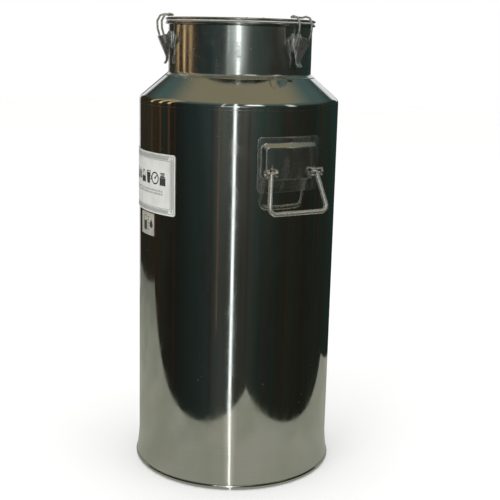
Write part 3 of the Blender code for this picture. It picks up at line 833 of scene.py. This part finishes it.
def frame_strip(half, low, high, corner, width, steps=6, runs=8):
    """Quads of a thin rounded frame of one line width."""
    outer = rounded_loop(half, low, high, corner, steps, runs)
    inner = rounded_loop(half - width, low + width, high - width, max(corner - width, 0.2 * MM),
                         steps, runs)
    count = len(outer)
    return [[outer[i], outer[(i + 1) % count], inner[(i + 1) % count], inner[i]] for i in range(count)]


def frame_strip_at(x, z, half, tall, width):
    quads = frame_strip(half, -tall, tall, 1.2 * MM, width, 4, 2)
    return [[(px + x, pz + z) for px, pz in quad] for quad in quads]


def disc(x, z, radius, count=24):
    return arc((x, z), radius, 0, 360, count)[:-1]


def ring_quads(x, z, outer, inner, start=0, end=360, count=24):
    a, b = arc((x, z), outer, start, end, count), arc((x, z), inner, start, end, count)
    return [[a[i], a[i + 1], b[i + 1], b[i]] for i in range(count)]


def bar(x0, z0, x1, z1):
    return [(x0, z0), (x1, z0), (x1, z1), (x0, z1)]


def slanted(x, z, length, width, degrees):
    c, s = math.cos(math.radians(degrees)), math.sin(math.radians(degrees))
    return [(x + c * u * length / 2 - s * v * width / 2, z + s * u * length / 2 + c * v * width / 2)
            for u, v in ((-1, -1), (1, -1), (1, 1), (-1, 1))]


def pictogram(kind, x, z, s):
    """Plain marks about s tall: a can, a drop, an ice star, a closed latch, a cup, a dial."""
    if kind == "can":
        return [bar(x - .34 * s, z - .5 * s, x + .34 * s, z + .10 * s),
                [(x - .34 * s, z + .12 * s), (x + .34 * s, z + .12 * s), (x + .20 * s, z + .27 * s),
                 (x - .20 * s, z + .27 * s)],
                bar(x - .22 * s, z + .31 * s, x + .22 * s, z + .40 * s),
                bar(x - .28 * s, z + .43 * s, x + .28 * s, z + .5 * s)]
    if kind == "drop":
        bulb = arc((x, z - .16 * s), .34 * s, 150, 390, 20)
        return [[*bulb, (x + .05 * s, z + .46 * s), (x, z + .5 * s), (x - .05 * s, z + .46 * s)]]
    if kind == "star":
        marks = []
        for d in (30, 90, 150):
            across, up = .30 * s * math.cos(math.radians(d)), .30 * s * math.sin(math.radians(d))
            marks += [slanted(x + across * k, z + up * k, .34 * s, .09 * s, d + 90) for k in (-1, 1)]
        return [slanted(x, z, s, .11 * s, d) for d in (30, 90, 150)] + marks
    if kind == "latch":
        return (ring_quads(x, z + .22 * s, .27 * s, .17 * s, 0, 180)
                + [bar(x - .27 * s, z - .02 * s, x - .17 * s, z + .22 * s),
                   bar(x + .17 * s, z - .02 * s, x + .27 * s, z + .22 * s),
                   bar(x - .38 * s, z - .5 * s, x + .38 * s, z - .02 * s)])
    if kind == "cup":
        return ([[(x - .28 * s, z - .5 * s), (x + .20 * s, z - .5 * s), (x + .28 * s, z + .36 * s),
                  (x - .36 * s, z + .36 * s)]]
                + ring_quads(x + .28 * s, z - .02 * s, .22 * s, .13 * s, -80, 80, 12)
                + [bar(x - .40 * s, z + .42 * s, x + .32 * s, z + .5 * s)])
    return (ring_quads(x, z, .5 * s, .39 * s) + [slanted(x + .1 * s, z + .1 * s, .42 * s, .10 * s, 45)]
            + [disc(x, z, .09 * s, 12)])


def label_large():
    middle, half, low, high, corner = LABELS["large"]
    reach = math.radians(half) * BODY_R
    outline = rounded_loop(reach, low, high, corner, 8, 2)
    wrapped("label_sheet", [outline], middle, LABEL_R, PAPER, LABEL_SHEET, nodes=["label_large"])
    ink, grey = [], []
    for inset, bend, width in ((2.5 * MM, 2.5 * MM, 0.5 * MM), (9 * MM, 1.5 * MM, 0.45 * MM)):
        ink += frame_strip(reach - inset, low + inset, high - inset, bend, width)
    band, pitch = 5.75 * MM, 1.9 * MM                       # the border's middle and its strokes
    stroke = (5.2 * MM, 1.25 * MM)
    for k in range(int((2 * reach - 4 * band) / pitch)):
        x = -reach + 2 * band + k * pitch
        grey += [slanted(x, z, *stroke, 55) for z in (low + band, high - band)]
    for k in range(int((high - low - 3 * band) / pitch)):
        z = low + 1.5 * band + (k + 0.8) * pitch
        grey += [slanted(x, z, *stroke, 35) for x in (-reach + band, reach - band)]
    spot = band + 1.2 * MM
    for x in (-reach + spot, reach - spot):
        grey += [disc(x, z, 1.6 * MM, 16) for z in (low + spot, high - spot)]
    kinds = ("dial", "drop", "can", "star", "latch", "cup", "dial", "can")
    size, row = 18.5 * MM, high - 36.5 * MM
    span = 2 * (reach - 25 * MM)
    for i, kind in enumerate(kinds):
        ink += pictogram(kind, -span / 2 + span * i / (len(kinds) - 1), row, size)
    lengths = (5, 3, 7, 4, 6, 2.5, 8, 5, 3.5, 6.5, 4, 7, 3, 5.5, 8, 2.5, 6, 4.5, 3)
    margin = reach - 16.5 * MM
    for line, first in ((low + 32.4 * MM, 0), (low + 28.2 * MM, 7)):    # bars in place of text
        x = -margin
        for length in (lengths * 3)[first:]:
            if x + length * MM > margin:
                break
            grey.append(bar(x, line, x + length * MM, line + 2.6 * MM))
            x += (length + 1.6) * MM
    wrapped("label_print", ink, middle, INK_R, INK, INK_FILM)
    wrapped("label_border", grey, middle, GREY_R, GREY_INK, GREY_FILM)


def label_small():
    middle, half, low, high, corner = LABELS["small"]
    reach = math.radians(half) * BODY_R
    outline = rounded_loop(reach, low, high, corner, 6, 2)
    wrapped("small_label_sheet", [outline], middle, LABEL_R, SMALL_PAPER, LABEL_SHEET,
            nodes=["label_small"])
    x, z = -6 * MM, high - 16 * MM                          # a level gauge with its marks
    ink = frame_strip_at(x, z, 5 * MM, 11 * MM, 0.8 * MM)
    ink.append(bar(x - 4.2 * MM, z - 10.2 * MM, x + 4.2 * MM, z + 3 * MM))
    for k in range(5):
        tick, up = 6 * MM if k % 2 == 0 else 4 * MM, z + k * 4.6 * MM
        ink.append(bar(1.5 * MM, up - 9.6 * MM, 1.5 * MM + tick, up - 8.5 * MM))
    ink += pictogram("drop", 13.0 * MM, z + 0.5 * MM, 13 * MM)
    grey = [bar(start * MM, low + 4 * MM, (start + 6) * MM, low + 5.6 * MM) for start in (-15, -7, 1, 9)]
    wrapped("small_label_print", ink, middle, INK_R, INK, INK_FILM)
    wrapped("small_label_lines", grey, middle, GREY_R, GREY_INK, GREY_FILM)


# ---------------------------------------------------------------- stage and light

def emitter(name, colour, strength, core, edge):
    """A glowing card's material, which fades from a half width of core to one of edge."""
    mat = bpy.data.materials.new(name)
    n = empty_tree(mat)
    glow = n.add("ShaderNodeEmission", {"Color": (*colour, 1), "Strength": strength}).outputs[0]
    place = n.add("ShaderNodeTexCoord").outputs["Object"]
    x = n.add("ShaderNodeSeparateXYZ", {0: place}).outputs[0]
    fade = n.spread(n.math('ABSOLUTE', x), core, edge, 1.0, 0.0)
    clear = n.add("ShaderNodeBsdfTransparent").outputs[0]
    surface = n.add("ShaderNodeMixShader", {0: fade, 1: clear, 2: glow}).outputs[0]
    n.add("ShaderNodeOutputMaterial", {0: surface})
    return mat


def reflected_only(obj):
    obj.visible_camera = False
    obj.visible_diffuse = False
    obj.visible_shadow = False
    obj.visible_transmission = False
    obj.visible_volume_scatter = False


def from_camera(x, y, z=0.0):
    """A place given with the camera's side at -Y and its right at +X."""
    return Matrix.Rotation(CAMERA_TURN, 4, 'Z') @ Vector((x, y, z))


def polygon(name, corners, mat):
    """A single face, as a mesh with its material."""
    mesh = bpy.data.meshes.new(name)
    mesh.from_pydata(corners, [], [tuple(range(len(corners)))])
    mesh.materials.append(mat)
    return mesh


def card(name, azimuth, distance, half, low, high, colour, strength, fade):
    """An upright card facing the can, between two heights. It dims over a part (fade) of each half.

    Azimuth 0 is the camera's side and 90 is to its right.
    """
    mat = emitter(name, colour, strength, half * (1 - fade), half)
    corners = [(-half, 0, low), (half, 0, low), (half, 0, high), (-half, 0, high)]
    obj = placed(name, polygon(name, corners, mat))
    a = math.radians(azimuth)
    obj.matrix_world = (Matrix.Translation(from_camera(math.sin(a) * distance, -math.cos(a) * distance))
                        @ Matrix.Rotation(CAMERA_TURN + a, 4, 'Z'))
    reflected_only(obj)


def ground():
    """A near-white floor that glows faintly, to blend with the background."""
    mat, n, place, connect = material("floor", 0.0, Specular_IOR_Level=0.2,
                                      Emission_Color=(1, 1, 1, 1), Emission_Strength=0.13)
    cloud = n.noise(place, 3.0, 3.0)
    connect(Base_Color=n.mix(cloud, (0.93, 0.93, 0.925), (0.90, 0.90, 0.895)),
            Roughness=n.spread(cloud, 0.0, 1.0, 0.7, 0.8))
    shape = bmesh.new()
    bmesh.ops.create_circle(shape, cap_ends=True, segments=128, radius=9)
    floor = placed("floor", finished("floor", shape, outwards=False))
    floor.data.materials.append(mat)
    floor.visible_glossy = False


def table_tone(n, place):
    """Pale at the middle, darker far away, with a painted highlight: a bright streak from the can to the
    camera.
    """
    lean, nearest = 0.073, 0.02                             # the streak leans a little to the left
    x, y, _ = n.turned(place)
    near = n.math('MAXIMUM', n.math('SUBTRACT', -BODY_R, y), nearest)
    off_line = n.math('ABSOLUTE', n.math('ADD', n.math('DIVIDE', x, near), lean))
    # The streak and its halo are a painted highlight, glowing in the table top's colour.
    streak = n.spread(off_line, 0.012, 0.060, 1.0, 0.0)
    halo = n.spread(off_line, 0.0, 0.22, 0.16, 0.0)
    painted_gleam = n.math('MULTIPLY', n.math('MAXIMUM', streak, halo), n.spread(y, 0.05, -0.05))
    away = n.add("ShaderNodeVectorMath", {0: place}, operation='LENGTH').outputs["Value"]
    cloud = n.noise(place, 5.0, 3.0)
    tone = n.mix(n.spread(cloud, 0.3, 0.7), (0.31, 0.325, 0.265), (0.38, 0.39, 0.33))
    tone = n.mix(n.spread(away, 0.45, 2.0, 0.0, 0.8, smooth=False), tone, ROOM_DARK)
    return n.mix(painted_gleam, tone, (1.75, 1.78, 1.70))


def table_top():
    """The pale top that the polished wall mirrors, with its near corner in front of the can. It glows, and
    its colour carries a painted highlight.
    """
    corner = Vector((0.133, -0.5645))
    left, right = Vector((-0.837, 0.547)) * 1.64, Vector((0.449, 0.893)) * 0.97
    spots = [corner, corner + right, corner + right + left, corner + left]
    mat = bpy.data.materials.new("table_top")
    n = empty_tree(mat)
    tone = table_tone(n, n.add("ShaderNodeTexCoord").outputs["Object"])
    glow = n.add("ShaderNodeEmission", {"Color": tone, "Strength": 1.0}).outputs[0]
    n.add("ShaderNodeOutputMaterial", {0: glow})
    sunk = -0.3 * MM
    reflected_only(placed("table_top", polygon("table_top", [from_camera(*p, sunk) for p in spots], mat)))


def cards():
    """The bright things round the can that its wall mirrors, beside the table top."""
    card("window", -3.6, 2.6, 0.105, -2.6, 3.4, (0.93, 1.0, 1.0), 2.1, 0.85)
    card("window_halo", -3.6, 2.65, 0.42, -2.6, 3.4, (0.90, 1.0, 0.97), 0.10, 1.0)
    card("neck_halo", -3.6, 2.62, 0.95, 0.54, 0.95, (0.86, 1.0, 0.98), 0.85, 1.0)
    card("neck_core", -1.5, 2.58, 0.15, 0.54, 0.95, (0.95, 1.0, 1.0), 3.2, 0.9)
    card("window_edge", -17.5, 2.6, 0.08, 0.50, 3.4, (0.9, 0.95, 0.9), 0.9, 0.7)
    card("brown_edge", -20.5, 2.6, 0.05, -0.5, 0.46, (0.45, 0.24, 0.15), 0.42, 0.8)
    for azimuth, strength in ((-114, 1.2), (-97, 1.4), (-83, 1.1)):
        card(f"post_{-azimuth}", azimuth, 2.2, 0.10, 0.52, 3.0, (0.80, 0.55, 0.28), strength, 0.3)
        card(f"post_{-azimuth}_low", azimuth, 2.2, 0.08, 0.05, 0.52, (0.55, 0.36, 0.20), 0.13, 0.6)
    card("high_light", 18, 2.6, 0.62, 1.5, 2.7, (0.98, 0.99, 0.95), 1.5, 0.6)
    card("side_light", 62, 2.6, 0.30, 1.0, 2.4, (0.95, 0.97, 0.95), 0.9, 0.6)
    card("pale_wall", 163, 2.4, 0.45, 0.7, 2.6, (0.95, 0.97, 0.97), 0.9, 0.3)
    card("back_light", -160, 2.6, 0.28, -1.5, 2.6, (0.95, 0.98, 1.0), 0.9, 0.8)


# The room's colour round the can, by azimuth
ROOM = [(-180, (0.020, 0.030, 0.030)), (-138, (0.045, 0.030, 0.014)), (-100, (0.038, 0.028, 0.016)),
        (-72, (0.012, 0.012, 0.011)), (-50, (0.020, 0.044, 0.042)), (-29, (0.045, 0.075, 0.078)),
        (-14, (0.130, 0.148, 0.127)), (8, (0.113, 0.120, 0.105)), (22, (0.053, 0.078, 0.068)),
        (52, (0.028, 0.035, 0.025)), (86, (0.018, 0.019, 0.013)), (120, (0.016, 0.029, 0.019)),
        (148, (0.0125, 0.040, 0.036)), (180, (0.020, 0.030, 0.030))]


def world():
    """Plain white for the background and the diffuse light, and the room for reflections."""
    made = bpy.data.worlds.new("world")
    bpy.context.scene.world = made
    n = empty_tree(made)
    place = n.add("ShaderNodeTexCoord").outputs["Generated"]
    x, y, z = n.turned(place)
    azimuth = n.math('ARCTAN2', x, n.math('MULTIPLY', y, -1.0))
    ramp = n.add("ShaderNodeValToRGB", {0: n.spread(azimuth, -math.pi, math.pi, smooth=False)})
    stops = ramp.color_ramp.elements
    while len(stops) < len(ROOM):
        stops.new(0.5)
    for stop, (degrees, colour) in zip(stops, ROOM):
        stop.position = (degrees + 180) / 360
        stop.color = (*colour, 1)
    cloud = n.noise(place, 2.2, 3.0)
    near = n.mix(n.math('MULTIPLY', n.spread(cloud, 0.35, 0.7), 0.6), ramp.outputs[0], ROOM_DARK)
    streak = n.add("ShaderNodeTexNoise",
                   {"W": n.math('MULTIPLY', azimuth, 7.0), "Scale": 1.0, "Detail": 4.0},
                   noise_dimensions='1D').outputs[0]
    near = n.mix(n.spread(streak, 0.52, 0.66, 0.0, 0.55), near, (0.055, 0.030, 0.018))
    near = n.mix(n.spread(streak, 0.46, 0.34, 0.0, 0.55), near, (0.012, 0.048, 0.050))
    low = n.mix(n.spread(z, 0.0, -0.25, 0.0, 0.6), near, (0.014, 0.014, 0.010))
    ring = n.mix(n.spread(z, 0.25, 0.6), low, (0.08, 0.13, 0.125))
    sky = n.mix(n.spread(z, 0.62, 0.9), ring, (0.27, 0.25, 0.165))
    glossy = n.add("ShaderNodeLightPath").outputs["Is Glossy Ray"]
    shader = n.add("ShaderNodeBackground", {0: n.mix(glossy, (1, 1, 1), sky), 1: 1.0}).outputs[0]
    n.add("ShaderNodeOutputWorld", {0: shader})


def area_light(name, azimuth, distance, height, size, power):
    data = bpy.data.lights.new(name, 'AREA')
    data.shape = 'SQUARE'
    data.size = size
    data.energy = power
    obj = placed(name, data)
    a = math.radians(azimuth)
    place = from_camera(math.sin(a) * distance, -math.cos(a) * distance, height)
    aim = Vector((0, 0, 0.35))                              # the middle of the can
    obj.matrix_world = (Matrix.Translation(place)
                        @ (place - aim).to_track_quat('Z', 'Y').to_matrix().to_4x4())
    obj.visible_glossy = False


vessel()
weld_bead("neck_weld", *cone_point(NECK_FOOT_R + GAP / 2), 1.3 * MM, 0.45 * MM,
          (math.sin(SLOPE), math.cos(SLOPE)))
weld_bead("seam_weld", BODY_R, SEAM_Z + GAP / 2, 0.5 * MM, 0.06 * MM, (1, 0))
long_seam()
lid()
lid_handle()
for letter, spin in LATCHES.items():
    latch(letter, spin)
for which, spin in HANDLES.items():
    handle_plate(which, spin)
label_large()
label_small()
ground()
table_top()
cards()
world()
area_light("key", -35, 2.2, 1.9, 1.4, 12)
area_light("fill", 60, 2.6, 1.4, 1.8, 7)
